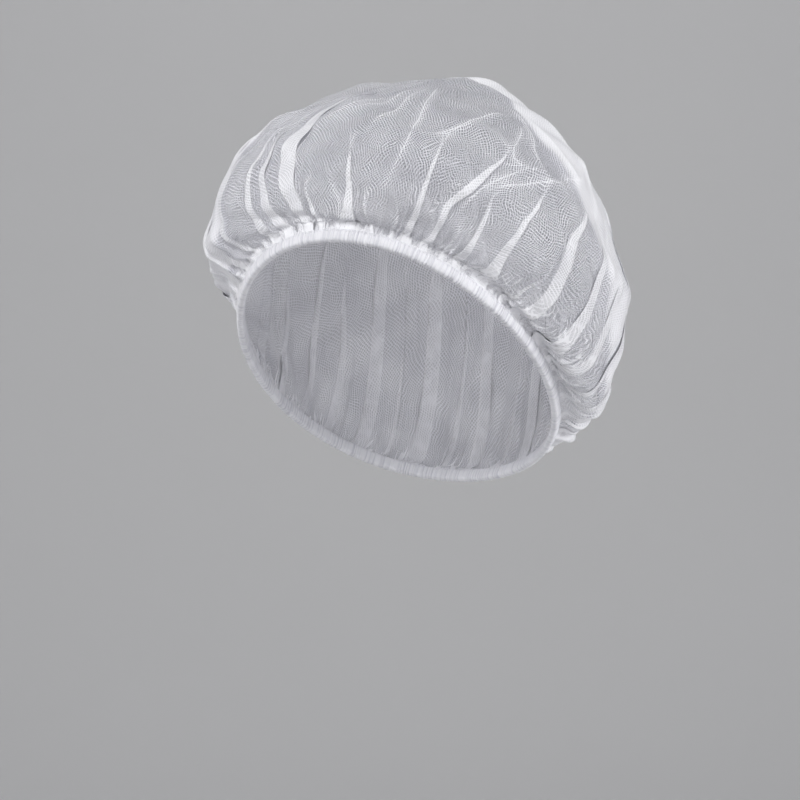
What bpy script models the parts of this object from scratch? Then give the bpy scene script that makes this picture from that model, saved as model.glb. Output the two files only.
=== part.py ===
"""Disposable hairnet: a bag of open non-woven net, gathered into a turned hem round an elastic.

Metres, +Z up, the wearer faces -Y. The origin is the middle of the opening, level with its two sides.
"""

import math

import bmesh
import bpy
from mathutils import Vector

# Opening, as stretched round a head
OPENING_WIDTH = 0.1546
OPENING_LENGTH = 0.1924
OPENING_TILT = math.radians(39)
SIDE_DIP = 0.005
HEM_LEAN = math.radians(7)

# Elastic and the hem turned up round it
ELASTIC_HEIGHT = 0.0042
ELASTIC_THICKNESS = 0.0008
HEM_WALL = 0.001
CLEARANCE = 0.0003
HEM_COVER = 0.0006
HEM_GATHERS = 92
GATHER_DEPTH = 0.0005

# Net bag
NET_WALL = 0.001
BAG_WIDTH = 0.212
BAG_LENGTH = 0.204
BAG_SETBACK = 0.032
CROWN_HEIGHT = 0.143
CROWN_SETBACK = 0.052
DROOP = 0.060
COLLAR_RISE = 0.007
COLLAR_REACH = 0.010
FOLD_HEIGHT = 0.0055
PANEL_SAG = 0.0012
DENT_HEIGHT = 0.004

# How the bag hangs, by the direction it faces: 0 is the forehead, 90 the wearer's left, 180 the nape.
# height is where it is fullest, as a share of CROWN_HEIGHT, droop how far it hangs, as a share of DROOP,
# spread is how far out it leaves the hem, and fullness its reach beside the plain oval.
DIRECTIONS = (
    # direction, height, droop, spread, fullness
    (0, 0.61, -0.04, 0.38, 1.06),
    (45, 0.52, 0.14, 0.39, 1.05),
    (90, 0.23, 0.62, 0.40, 1.00),
    (135, 0.19, 0.12, 0.49, 0.83),
    (180, 0.19, 0.18, 0.52, 0.87),
    (225, 0.19, 0.24, 0.50, 0.86),
    (270, 0.22, -0.35, 0.42, 0.92),
    (315, 0.50, -0.10, 0.39, 1.04),
)

# Main folds, by where each leaves the hem. lean is how far it has turned at the crown, run the share of the
# way up that it reaches, height and width its size beside FOLD_HEIGHT and the space to the next fold.
FOLDS = (
    # direction, lean, run, height, width
    (5.5, -2, 0.42, 1.1, 0.30),
    (14, 1, 0.30, 0.5, 0.25),
    (26, 7, 0.72, 0.9, 0.32),
    (36, 14, 0.80, 1.0, 0.32),
    (44, 8, 0.35, 0.6, 0.25),
    (51, 8, 0.50, 0.8, 0.28),
    (59, 12, 0.78, 1.1, 0.34),
    (70.5, 14, 0.45, 0.7, 0.28),
    (79, 8, 0.35, 0.6, 0.25),
    (88, 8, 0.75, 1.2, 0.36),
    (98, 5, 0.50, 0.8, 0.30),
    (107, 4, 0.70, 1.1, 0.34),
    (118, 2, 0.55, 0.8, 0.32),
    (129, 3, 0.75, 1.0, 0.36),
    (140, 0, 0.50, 0.7, 0.30),
    (151, 2, 0.65, 0.9, 0.34),
    (162, -2, 0.50, 0.8, 0.30),
    (173, 1, 0.75, 1.0, 0.36),
    (184, -1, 0.50, 0.9, 0.32),
    (195, 2, 0.65, 0.9, 0.34),
    (206, -2, 0.50, 0.8, 0.30),
    (217, 1, 0.75, 1.0, 0.36),
    (228, -3, 0.50, 0.9, 0.32),
    (240, -2, 0.65, 1.1, 0.34),
    (252, -4, 0.45, 0.8, 0.30),
    (264, -3, 0.70, 1.1, 0.34),
    (276, -5, 0.50, 0.8, 0.30),
    (288, -6, 0.60, 0.9, 0.32),
    (300, -5, 0.45, 0.7, 0.28),
    (312, -8, 0.70, 1.1, 0.34),
    (324, -5, 0.45, 0.7, 0.28),
    (337, -9, 0.80, 1.2, 0.36),
    (347, -8, 0.78, 1.0, 0.34),
    (355, -3, 0.30, 0.5, 0.25),
)

# Dents and swells of the slack cloth: where each is, how far it reaches, and how far out it stands beside
# DENT_HEIGHT.
DENTS = (
    # direction, share of the way up, reach in degrees, reach in share, height
    (116, 0.49, 16, 0.07, -1.00),
    (302, 0.30, 14, 0.06, -0.50),
    (62, 0.74, 26, 0.06, 0.75),
    (38, 0.62, 18, 0.07, -0.75),
    (345, 0.66, 16, 0.08, -0.75),
    (318, 0.55, 16, 0.08, 0.75),
    (92, 0.58, 24, 0.09, -1.00),
    (150, 0.60, 20, 0.09, -1.00),
    (205, 0.52, 18, 0.08, 0.75),
    (248, 0.62, 20, 0.08, -1.00),
    (160, 0.82, 40, 0.06, 0.75),
)

# Rows of the net from hem to crown, in quarter turns of its lower and upper curve
LOWER_ROWS = 7
UPPER_ROWS = 9
LOWER_SHARE = 0.38

NET_COLOUR = (0.86, 0.86, 0.89)
HEM_COLOUR = (0.90, 0.90, 0.92)
ELASTIC_COLOUR = (0.93, 0.93, 0.93)


def around(rows, direction):
    """The rows' values at a direction in degrees, on a smooth closed curve through them."""
    count = len(rows)
    turn = direction % 360
    after = next((i for i, row in enumerate(rows) if row[0] > turn), count)
    near = [rows[(after + step) % count] for step in (-2, -1, 0, 1)]
    start = near[1][0]
    gap = (near[2][0] - start) % 360
    t = ((turn - start) % 360) / gap
    weights = (
        (-t + 2 * t**2 - t**3) / 2,
        (2 - 5 * t**2 + 3 * t**3) / 2,
        (t + 4 * t**2 - 3 * t**3) / 2,
        (-(t**2) + t**3) / 2,
    )
    return [sum(w * row[k] for w, row in zip(weights, near)) for k in range(1, len(rows[0]))]


def opening_point(direction):
    """A point on the lower inner edge of the hem."""
    a = math.radians(direction)
    forward = OPENING_LENGTH / 2 * math.cos(a)
    return Vector(
        (
            OPENING_WIDTH / 2 * math.sin(a),
            -forward * math.cos(OPENING_TILT),
            forward * math.sin(OPENING_TILT) - SIDE_DIP * math.sin(a) ** 2,
        )
    )


def hem_axes(direction):
    """(outward, up) of the hem's cross-section: it leans out with the head's curve."""
    step = 0.5
    along = (opening_point(direction + step) - opening_point(direction - step)).normalized()
    plane_up = Vector((0, math.sin(OPENING_TILT), math.cos(OPENING_TILT)))
    level_out = along.cross(plane_up).normalized()
    true_up = level_out.cross(along).normalized()
    outward = level_out * math.cos(HEM_LEAN) - true_up * math.sin(HEM_LEAN)
    upward = true_up * math.cos(HEM_LEAN) + level_out * math.sin(HEM_LEAN)
    return outward, upward


HEM_THICKNESS = 2 * HEM_WALL + 2 * CLEARANCE + ELASTIC_THICKNESS
HEM_TOP = HEM_WALL + CLEARANCE + ELASTIC_HEIGHT + HEM_COVER


def hem_place(direction, out, up):
    """A point of the hem's cross-section: out from its inner face, up from its lower edge."""
    outward, upward = hem_axes(direction)
    return opening_point(direction) + outward * out + upward * up


def fullest_point(direction, height, fullness):
    a = math.radians(direction)
    return Vector(
        (
            BAG_WIDTH / 2 * math.sin(a) * fullness,
            BAG_SETBACK - BAG_LENGTH / 2 * math.cos(a) * fullness,
            CROWN_HEIGHT * height,
        )
    )


def direction_of(point):
    """The direction that a point of the hem's ring faces, in degrees."""
    return math.degrees(math.atan2(point.x / OPENING_WIDTH, -point.y / OPENING_LENGTH / math.cos(OPENING_TILT)))


def bezier(points, t):
    while len(points) > 1:
        points = [a.lerp(b, t) for a, b in zip(points, points[1:])]
    return points[0]


def smooth_bag(direction, share):
    """A point of the bag with no folds: share 0 is its rim at the hem and 1 its crown."""
    height, droop, spread, fullness = around(DIRECTIONS, direction)
    widest = fullest_point(direction, height, fullness)
    crown = Vector((0, CROWN_SETBACK, CROWN_HEIGHT))
    if share >= LOWER_SHARE:
        turn = (share - LOWER_SHARE) / (1 - LOWER_SHARE) * math.pi / 2
        level = crown.lerp(widest, math.cos(turn))
        level.z = widest.z + (crown.z - widest.z) * math.sin(turn)
        return level
    outward, upward = hem_axes(direction)
    rim = hem_place(direction, HEM_THICKNESS - NET_WALL / 2, HEM_TOP + CLEARANCE)
    stand = rim + upward * COLLAR_RISE
    turn_out = stand + outward * COLLAR_REACH
    hang = rim.lerp(widest, spread)
    hang.z = rim.z - DROOP * droop
    below = widest.copy()
    below.z = (widest.z + hang.z) / 2
    return bezier([rim, stand, turn_out, hang, below, widest], share / LOWER_SHARE)


def outward_at(direction, share):
    """The way out of the smooth bag, square to its surface."""
    step, rise = 0.6, 0.006
    low, high = max(share - rise, 0.0), min(share + rise, 0.995)
    across = smooth_bag(direction + step, share) - smooth_bag(direction - step, share)
    up = smooth_bag(direction, high) - smooth_bag(direction, low)
    return across.cross(up).normalized()


def swell(share, run):
    """How far a fold stands out along its run: nothing at the hem, most just above it, nothing at its end."""
    if share >= run:
        return 0.0
    return min(share / 0.10, 1.0) * math.cos(share / run * math.pi / 2) ** 0.8


def dent(direction, share):
    """How far the slack cloth stands out here."""
    total = 0.0
    for centre, up, reach, rise, height in DENTS:
        apart = (direction - centre + 180) % 360 - 180
        total += DENT_HEIGHT * height * math.exp(-((apart / reach) ** 2) - ((share - up) / rise) ** 2)
    return total


def net_columns():
    """(direction, lean, run, height) down the bag: a crest for each fold and two lines of the panel after it."""
    columns = []
    for fold, after in zip(FOLDS, FOLDS[1:] + FOLDS[:1]):
        direction, lean, run, height, width = fold
        gap = (after[0] - direction) % 360
        columns.append((direction, lean, run, height))
        for share in (width, 1 - after[4]):
            columns.append((direction + gap * share, lean + (after[1] - lean) * share, 1.0, 0.0))
    return columns


def row_shares():
    lower = [i / LOWER_ROWS * LOWER_SHARE for i in range(LOWER_ROWS)]
    upper = [LOWER_SHARE + i / UPPER_ROWS * (1 - LOWER_SHARE) for i in range(UPPER_ROWS)]
    return lower + upper


def material(name, colour, roughness):
    made = bpy.data.materials.new(name)
    made.use_nodes = True
    shader = made.node_tree.nodes["Principled BSDF"]
    shader.inputs["Base Color"].default_value = (*colour, 1)
    shader.inputs["Roughness"].default_value = roughness
    shader.inputs["Metallic"].default_value = 0
    return made


def add_object(name, mesh_data, surface):
    mesh = bpy.data.meshes.new(name)
    mesh_data.to_mesh(mesh)
    mesh_data.free()
    mesh.materials.append(surface)
    mesh.shade_smooth()
    made = bpy.data.objects.new(name, mesh)
    bpy.context.scene.collection.objects.link(made)
    return made


def net_bag():
    """The bag as one wall: its smooth form, raised at each fold's crest and a little slack between."""
    mesh = bmesh.new()
    shares = row_shares()
    rings = []
    for share in shares:
        ring = []
        for direction, lean, run, height in net_columns():
            turned = direction + lean * share
            lift = FOLD_HEIGHT * height * swell(share, run) if height else -PANEL_SAG * swell(share, 1.0)
            out = lift + dent(turned, share)
            ring.append(mesh.verts.new(smooth_bag(turned, share) + outward_at(turned, share) * out))
        rings.append(ring)
    for low, high in zip(rings, rings[1:]):
        for i, corner in enumerate(low):
            nxt = (i + 1) % len(low)
            mesh.faces.new((corner, low[nxt], high[nxt], high[i]))
    crown = mesh.verts.new(Vector((0, CROWN_SETBACK, CROWN_HEIGHT)))
    last = rings[-1]
    for i, corner in enumerate(last):
        mesh.faces.new((corner, last[(i + 1) % len(last)], crown))
    mesh.normal_update()
    thicken(mesh, rings[0])
    return add_object("net_bag", mesh, material("net", NET_COLOUR, 0.75))


def thicken(mesh, rim):
    """Turn the one wall into an inner and an outer one, NET_WALL apart, joined round the rim."""
    offsets = {}
    for corner in mesh.verts:
        facing = corner.normal
        slant = sum(facing.dot(face.normal) for face in corner.link_faces) / len(corner.link_faces)
        offsets[corner] = facing * (NET_WALL / 2 / max(slant, 0.6))
    for corner in rim:
        ahead = rim[(rim.index(corner) + 1) % len(rim)].co - corner.co
        upward = hem_axes(direction_of(corner.co))[1]
        offsets[corner] = ahead.cross(upward).normalized() * (NET_WALL / 2)
    faces = [[corner for corner in face.verts] for face in mesh.faces]
    inner = {corner: mesh.verts.new(corner.co - offset) for corner, offset in offsets.items()}
    for corner, offset in offsets.items():
        corner.co += offset
    for face in faces:
        mesh.faces.new([inner[corner] for corner in reversed(face)])
    for corner, nxt in zip(rim, rim[1:] + rim[:1]):
        mesh.faces.new((nxt, corner, inner[corner], inner[nxt]))


def swept_ring(name, sections, surface):
    """A closed ring through cross-sections, each a list of points that run the same way round."""
    mesh = bmesh.new()
    rings = [[mesh.verts.new(point) for point in section] for section in sections]
    for ring, nxt in zip(rings, rings[1:] + rings[:1]):
        count = len(ring)
        for i in range(count):
            j = (i + 1) % count
            mesh.faces.new((ring[i], nxt[i], nxt[j], ring[j]))
    bmesh.ops.recalc_face_normals(mesh, faces=mesh.faces)
    return add_object(name, mesh, surface)


def hem():
    """The net's edge, turned up round the elastic into a channel open at its top, with a gathered outer face."""
    sections = []
    count = 2 * HEM_GATHERS
    for i in range(count):
        direction = 360 * i / count
        puff = GATHER_DEPTH if i % 2 else 0.0
        inner, outer = HEM_WALL, HEM_THICKNESS - HEM_WALL
        corners = (
            (0.0, HEM_TOP),
            (0.0, 0.0 - puff / 2),
            (HEM_THICKNESS + puff, 0.0 - puff),
            (HEM_THICKNESS + puff, HEM_TOP / 2),
            (HEM_THICKNESS, HEM_TOP),
            (outer, HEM_TOP),
            (outer, HEM_WALL),
            (inner, HEM_WALL),
            (inner, HEM_TOP),
        )
        sections.append([hem_place(direction, out, up) for out, up in corners])
    return swept_ring("gathered_hem", sections, material("hem", HEM_COLOUR, 0.7))


def elastic():
    """The flat elastic, clear of the hem on every side."""
    sections = []
    count = 2 * HEM_GATHERS
    low, high = HEM_WALL + CLEARANCE, HEM_WALL + CLEARANCE + ELASTIC_HEIGHT
    inner = HEM_WALL + CLEARANCE
    outer = inner + ELASTIC_THICKNESS
    for i in range(count):
        direction = 360 * i / count
        corners = ((inner, low), (outer, low), (outer, high), (inner, high))
        sections.append([hem_place(direction, out, up) for out, up in corners])
    return swept_ring("elastic", sections, material("elastic", ELASTIC_COLOUR, 0.55))


def main():
    for old in list(bpy.data.objects):
        bpy.data.objects.remove(old)
    net_bag()
    hem()
    elastic()


main()
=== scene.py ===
import math

import bpy
import numpy as np
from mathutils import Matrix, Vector


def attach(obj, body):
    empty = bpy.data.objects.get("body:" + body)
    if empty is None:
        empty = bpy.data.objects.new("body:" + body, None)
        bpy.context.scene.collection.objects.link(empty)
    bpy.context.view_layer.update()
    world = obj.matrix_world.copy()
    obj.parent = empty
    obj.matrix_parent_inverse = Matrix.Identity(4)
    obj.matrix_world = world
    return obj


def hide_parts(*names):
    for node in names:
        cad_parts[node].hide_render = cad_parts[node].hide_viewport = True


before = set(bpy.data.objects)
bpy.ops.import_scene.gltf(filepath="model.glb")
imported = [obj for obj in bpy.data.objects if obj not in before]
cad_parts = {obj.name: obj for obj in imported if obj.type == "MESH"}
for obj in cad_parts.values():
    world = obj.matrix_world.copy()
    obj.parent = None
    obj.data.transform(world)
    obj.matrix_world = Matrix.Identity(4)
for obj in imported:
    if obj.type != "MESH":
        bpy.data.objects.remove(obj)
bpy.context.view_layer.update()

# Sizes, in metres. The cap is described by the direction a point faces (0 is the forehead, 90 the
# wearer's left, 180 the nape) and its share of the way from the hem, 0, to the crown, 1.

OPENING_WIDTH = 0.1546
OPENING_LENGTH = 0.1924
OPENING_TILT = math.radians(39)
SIDE_DIP = 0.005
HEM_LEAN = math.radians(7)
HEM_THICKNESS = 0.0034
HEM_TOP = 0.0061
HEM_WALL = 0.001
BAG_WIDTH = 0.212
BAG_LENGTH = 0.204
BAG_SETBACK = 0.032
CROWN_HEIGHT = 0.143
CROWN_SETBACK = 0.052
DROOP = 0.060
COLLAR_RISE = 0.007
COLLAR_REACH = 0.007
LOWER_SHARE = 0.38
NET_START = 0.0058
HEM_ROUND = 0.51

# How the bag hangs: direction, height of its fullest line, droop, spread and fullness.
HANG = (
    (0, 0.61, -0.04, 0.38, 1.06),
    (45, 0.52, 0.14, 0.39, 1.05),
    (90, 0.23, 0.62, 0.40, 1.00),
    (135, 0.19, 0.12, 0.49, 0.83),
    (180, 0.19, 0.18, 0.52, 0.87),
    (225, 0.19, 0.24, 0.50, 0.86),
    (270, 0.22, -0.35, 0.42, 0.92),
    (315, 0.50, -0.10, 0.39, 1.04),
)

# Tucks of the net: which way each lies over, and the line that it follows as (direction, share, overlap in
# mm). Where the overlap is 0 the line only keeps its place beside the next.
TUCKS = (
    (1, (
        (4.8, 0.0, 13), (4.8, 0.10, 11.5), (4.7, 0.20, 8), (4.7, 0.27, 6), (4.4, 0.36, 3.8),
        (4.0, 0.45, 2.2), (3.0, 0.53, 0.9),
    )),
    (-1, (
        (13.3, 0.0, 2.4), (12.3, 0.07, 2.0), (11.6, 0.13, 1.8), (10.9, 0.18, 1.6), (9.8, 0.26, 1.4),
        (8.5, 0.33, 1.0),
    )),
    (1, ((19.5, 0.0, 2.4), (19.2, 0.07, 2.0), (18.4, 0.20, 1.5), (18.0, 0.30, 1.0))),
    (1, (
        (25, 0.0, 5.2), (23.4, 0.11, 4.6), (22.6, 0.18, 3.9), (21.9, 0.26, 3.2), (22.2, 0.34, 2.7),
        (24, 0.42, 2.2), (26.3, 0.50, 1.7), (28.3, 0.57, 0.8),
    )),
    (1, (
        (31, 0.0, 4.5), (29.4, 0.15, 3.4), (28.5, 0.29, 2.7), (29.1, 0.36, 3.6), (33, 0.40, 5.4),
        (37, 0.45, 4.8), (41.1, 0.50, 3.2), (45.5, 0.54, 1.8), (47.5, 0.57, 0.8), (49.5, 0.62, 0),
        (50.5, 0.70, 0),
    )),
    (-1, (
        (36.8, 0.0, 2.6), (36.2, 0.10, 2.2), (34.4, 0.20, 1.5), (33.4, 0.28, 1.0), (34.2, 0.35, 0),
        (37, 0.40, 0), (40.5, 0.45, 0), (45, 0.50, 0), (51, 0.57, 0), (53, 0.70, 0),
    )),
    (-1, (
        (42.3, 0.0, 5), (40.6, 0.09, 4.9), (39.3, 0.18, 4.6), (38.6, 0.22, 4.1), (38, 0.27, 3.6),
        (38.3, 0.31, 2.9), (38.8, 0.35, 2.2), (40.8, 0.42, 1.2), (44, 0.45, 0), (49, 0.50, 0),
        (54.5, 0.57, 0), (56, 0.70, 0),
    )),
    (1, (
        (51.5, 0.0, 10), (50, 0.10, 9.2), (48.8, 0.17, 8.2), (47.4, 0.22, 7), (46.3, 0.27, 5.6),
        (46.5, 0.32, 4.0), (48.4, 0.36, 3.0), (52, 0.41, 2.4), (55.4, 0.46, 1.7), (58, 0.50, 0.8),
        (59.5, 0.57, 0), (60, 0.70, 0),
    )),
    (-1, (
        (59.8, 0.0, 2.8), (58.4, 0.15, 2.2), (56.7, 0.21, 2), (55.9, 0.26, 1.8), (57, 0.29, 1.5),
        (59, 0.32, 1), (60.4, 0.36, 0), (61.5, 0.42, 0), (63, 0.50, 0), (64, 0.70, 0),
    )),
    (1, (
        (67, 0.0, 7.5), (65, 0.10, 7.6), (62.8, 0.20, 7.6), (61.7, 0.27, 7.6), (62.3, 0.33, 7.7),
        (63.7, 0.37, 7), (66.3, 0.42, 5.4), (69.5, 0.46, 2.8), (71.5, 0.49, 1.2),
    )),
    (-1, (
        (78.5, 0.0, 8), (75.5, 0.16, 9), (73, 0.25, 9), (73, 0.30, 8), (75.5, 0.36, 5.5),
        (79, 0.46, 1.6),
    )),
    (1, ((87, 0.0, 5), (85.5, 0.12, 6), (83, 0.24, 6), (84, 0.36, 5), (88, 0.50, 1.5))),
    (-1, ((96, 0.0, 4.5), (95, 0.12, 4.5), (93, 0.25, 4), (94, 0.40, 2), (98, 0.56, 0.6))),
    (1, ((105, 0.0, 4), (104.5, 0.14, 3.5), (104, 0.30, 2.5), (106, 0.48, 0.6))),
    (1, ((115, 0.0, 4.5), (115, 0.14, 4), (116, 0.30, 3.5), (118, 0.46, 2.5), (121, 0.62, 1))),
    (1, ((126, 0.0, 3), (126, 0.16, 3), (127, 0.34, 3), (129, 0.50, 1))),
    (1, ((136, 0.0, 7), (137, 0.16, 8), (139, 0.34, 7), (141, 0.52, 4), (144, 0.66, 1.5))),
    (-1, ((147, 0.0, 5), (147.5, 0.20, 5), (149, 0.40, 3), (151, 0.50, 1.5))),
    (1, ((158, 0.0, 7), (158, 0.16, 8), (160, 0.36, 7), (162, 0.60, 2))),
    (-1, ((168.5, 0.0, 5), (168, 0.20, 6), (167, 0.42, 2))),
    (1, ((179, 0.0, 7), (179, 0.18, 8), (181, 0.38, 7), (184, 0.56, 4), (186, 0.70, 1.5))),
    (-1, ((189.5, 0.0, 5), (189, 0.20, 5), (188, 0.44, 1.5))),
    (-1, ((200, 0.0, 7), (200.5, 0.18, 8), (199, 0.38, 6), (197, 0.60, 1.5))),
    (1, ((210.5, 0.0, 5), (210, 0.20, 6), (209, 0.42, 2))),
    (-1, ((221, 0.0, 7), (220, 0.18, 8), (218, 0.38, 7), (216, 0.54, 4), (214, 0.68, 1.5))),
    (1, ((231.5, 0.0, 5), (231, 0.22, 5), (230, 0.42, 1.5))),
    (-1, ((242, 0.0, 7), (242, 0.18, 7), (240, 0.36, 6), (237, 0.58, 1.5))),
    (-1, ((253, 0.0, 5), (252.5, 0.20, 5), (251, 0.40, 1.5))),
    (1, ((264, 0.0, 6), (263, 0.18, 7), (261, 0.36, 6), (258, 0.56, 1.5))),
    (-1, ((275, 0.0, 5), (274, 0.20, 5), (272, 0.40, 1.5))),
    (1, ((285.5, 0.0, 6), (284, 0.16, 7), (281, 0.32, 6), (277, 0.56, 1.5))),
    (-1, ((296, 0.0, 5), (294.5, 0.18, 6), (292, 0.34, 4), (290, 0.46, 1.5))),
    (-1, ((305.5, 0.0, 6), (303.5, 0.16, 7), (300, 0.30, 6), (298, 0.48, 2))),
    (-1, ((315.5, 0.0, 6), (312.5, 0.16, 7), (309, 0.30, 7), (307.5, 0.42, 5), (310, 0.60, 1.5))),
    (-1, (
        (325.5, 0.0, 6), (322.5, 0.14, 6.5), (319.5, 0.28, 6.5), (318.5, 0.40, 6), (319.5, 0.54, 3),
        (322, 0.66, 1.2),
    )),
    (-1, (
        (335.5, 0.0, 6.5), (334.4, 0.10, 7), (334.1, 0.24, 6), (333.4, 0.36, 4.6), (332, 0.48, 2.6),
        (331.5, 0.60, 1.2),
    )),
    (1, (
        (342, 0.0, 6.5), (341.2, 0.10, 7), (340.6, 0.24, 6.5), (339.4, 0.39, 5.5), (337.4, 0.46, 4),
        (336, 0.58, 1.4),
    )),
    (1, (
        (350, 0.0, 6), (350, 0.12, 6.5), (349.8, 0.23, 7), (349.2, 0.33, 8.5), (346.4, 0.43, 9.4),
        (343.6, 0.54, 10.5), (343.8, 0.64, 7), (346.5, 0.72, 3), (350, 0.80, 1.2),
    )),
    (-1, (
        (355.4, 0.0, 3.6), (354.9, 0.07, 3.6), (354.5, 0.14, 3.2), (354.2, 0.22, 2.6),
        (353.8, 0.28, 2.2), (353.2, 0.34, 1.6), (352.3, 0.39, 1),
    )),
)

# Creases of the slack net between and above the tucks: (height in mm, breadth in mm, its line). The net is
# painted whiter along each, partly as pinched cloth and partly as a painted highlight.
CREASES = (
    (1.6, 1.6, (
        (18, 0.59), (20.5, 0.587), (24, 0.588), (28, 0.60), (35, 0.626), (39.5, 0.653), (44, 0.678),
        (51, 0.70), (58, 0.712),
    )),
    (1.4, 1.5, (
        (37, 0.415), (39.5, 0.427), (41, 0.44), (44.5, 0.457), (49, 0.476), (56, 0.506),
        (62.5, 0.523), (70, 0.53),
    )),
    (1.6, 1.6, (
        (62, 0.76), (62, 0.70), (60.2, 0.65), (58, 0.604), (57.5, 0.55), (58.5, 0.53),
        (61.5, 0.531),
    )),
    (1.4, 1.6, (
        (60, 0.70), (54.5, 0.635), (48.8, 0.575), (48.3, 0.548), (51, 0.530), (56, 0.533),
        (61.5, 0.531),
    )),
    (1.4, 1.8, (
        (31, 0.33), (32.5, 0.356), (34.5, 0.383), (36.5, 0.415), (39, 0.442), (43.5, 0.476),
        (49.5, 0.516), (55, 0.54),
    )),
    (1.4, 2.4, (
        (12, 0.30), (13.5, 0.37), (15, 0.437), (17, 0.494), (18.5, 0.558), (19.5, 0.609),
        (21.5, 0.693), (23.5, 0.771), (29, 0.889),
    )),
    (1.2, 1.6, ((346, 0.60), (349.5, 0.64), (353, 0.69), (359, 0.74), (5, 0.78))),
    (1.4, 2.2, ((352, 0.66), (0, 0.70), (7, 0.745), (13, 0.80), (22, 0.86))),
    (1.2, 1.6, ((4, 0.56), (8, 0.64), (12, 0.70), (16, 0.78), (24, 0.86))),
    (1.0, 1.2, ((1.2, 0.05), (1.8, 0.2), (2.2, 0.32), (0, 0.385), (358, 0.42))),
    (0.9, 1.2, ((27.5, 0.20), (27.5, 0.27), (26.5, 0.31), (24.5, 0.346))),
    (1.5, 2.2, ((62.5, 0.53), (67, 0.55), (73, 0.56), (80, 0.60), (90, 0.66))),
    (1.5, 2.4, ((71.5, 0.49), (72, 0.56), (72, 0.64), (68, 0.74), (60, 0.84))),
    (1.3, 2.0, ((79, 0.46), (82, 0.56), (86, 0.66), (88, 0.76))),
    (1.5, 2.4, ((98, 0.56), (104, 0.64), (108, 0.72), (120, 0.82))),
    (1.4, 2.2, ((112, 0.50), (124, 0.58), (134, 0.63), (146, 0.70))),
    (1.5, 2.4, ((150, 0.52), (158, 0.62), (165, 0.72), (180, 0.80))),
    (1.3, 2.0, ((174, 0.58), (188, 0.64), (200, 0.68), (214, 0.72))),
    (1.5, 2.4, ((196, 0.50), (204, 0.60), (210, 0.70), (224, 0.80))),
    (1.4, 2.2, ((228, 0.50), (236, 0.58), (246, 0.64), (258, 0.68))),
    (1.5, 2.4, ((250, 0.46), (258, 0.58), (264, 0.68), (280, 0.78))),
    (1.3, 2.0, ((276, 0.52), (286, 0.60), (296, 0.68), (310, 0.76))),
    (1.5, 2.4, ((300, 0.50), (306, 0.60), (316, 0.68), (330, 0.76))),
    (1.3, 2.0, ((322, 0.56), (330, 0.62), (338, 0.68), (345, 0.74))),
    (1.2, 2.2, ((300, 0.80), (270, 0.84), (230, 0.86), (200, 0.90))),
)

# Where the net stands fuller or flatter: direction, share, reach in degrees and in share, height in mm.
SWELLS = (
    (112, 0.905, 44, 0.085, 3.3),
    (96, 0.74, 24, 0.08, -1.8),
    (294, 0.38, 34, 0.15, 3.4),
    (101, 0.40, 20, 0.12, 3.4),
    (40, 0.80, 30, 0.10, -1.0),
    (200, 0.55, 25, 0.12, 2.0),
    (245, 0.72, 22, 0.10, 1.8),
    (160, 0.75, 26, 0.10, 1.6),
    (97, 0.475, 20, 0.035, -2.0),
    (98, 0.398, 20, 0.028, 2.4),
    (100, 0.358, 18, 0.018, -1.2),
    (101, 0.305, 18, 0.028, -2.0),
    (114, 0.222, 14, 0.035, 2.6),
    (126, 0.172, 12, 0.035, 2.6),
    (297, 0.310, 20, 0.035, 2.4),
    (290, 0.240, 16, 0.030, -1.6),
)

# Where the net is drawn out: at each share, from one direction to the other. The rest hangs slack and
# closer. At the back the slack measure is lowered, which paints the net there darker and keeps the inside
# seen through the front darker: painted shade.
DRAWN_OUT = (
    (0.00, -60, 128),
    (0.15, -54, 118),
    (0.25, -46, 100),
    (0.35, -38, 80),
    (0.47, -40, 72),
    (0.58, -44, 66),
    (0.73, -48, 62),
    (0.88, -62, 80),
    (1.00, -80, 100),
)

# Wrinkles that run up from the hem and merge: (how many round the hem, height in mm, reach up in mm).
WRINKLES = ((196, 0.60, 5), (93, 0.95, 11), (47, 1.0, 24), (23, 1.1, 60))

# The mesh of the net: columns across a tuck and between tucks, and (way up, spacing of rows) in metres.
TUCK_STEPS = 15
PANEL_STEPS = 6
ROW_SPACING = ((0.0, 0.0008), (0.012, 0.0010), (0.040, 0.0015), (0.080, 0.0022), (0.160, 0.0027))

# The flat cloth.
NET_PITCH = 0.00135

# How tucks form: the share of the room between them that they may take up, the least room in degrees, and
# the overlaps in metres at which a tuck is fully folded, edged and pressed. After those, a tuck's height,
# the gap in its creases, the heights of billows and broad waves, and a distance that counts as far from any
# crease.
TUCKED_SHARE = 0.78
LEAST_ROOM = 2.0
FOLDED_AT = 0.0014
EDGED_AT = 0.0006
PRESSED_AT = 0.0022
TUCK_HEIGHT = 0.0005
TUCK_HEIGHT_PER_OVERLAP = 0.048
CREASE_GAP = 0.0004
BILLOW = 0.0024
BROAD_WAVE = 0.0011
FAR_FROM_CREASE = 0.02

# The net's strands, and the hem's gathers and stitches.
STRAND_SLANT = math.radians(54)
STRAND_WANDER = 0.0070
STRAND_SHAKE = 0.0006
HEM_GATHERS = 330
HEM_STEPS = 6
OUTER_GATHER = 0.00021
INNER_GATHER = -0.00014
LOWER_GATHER = 0.00035
UPPER_GATHER = 0.00030
STITCHES = 300
STITCH_SIDES = 5
STITCH_RINGS = 5
STITCH_RADIUS = 0.00014
STITCH_LENGTH = 0.0011
STITCH_OUT = 0.00385
STITCH_BEND = 0.0007
STITCH_UP = 0.0050


# Form of the bag

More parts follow.
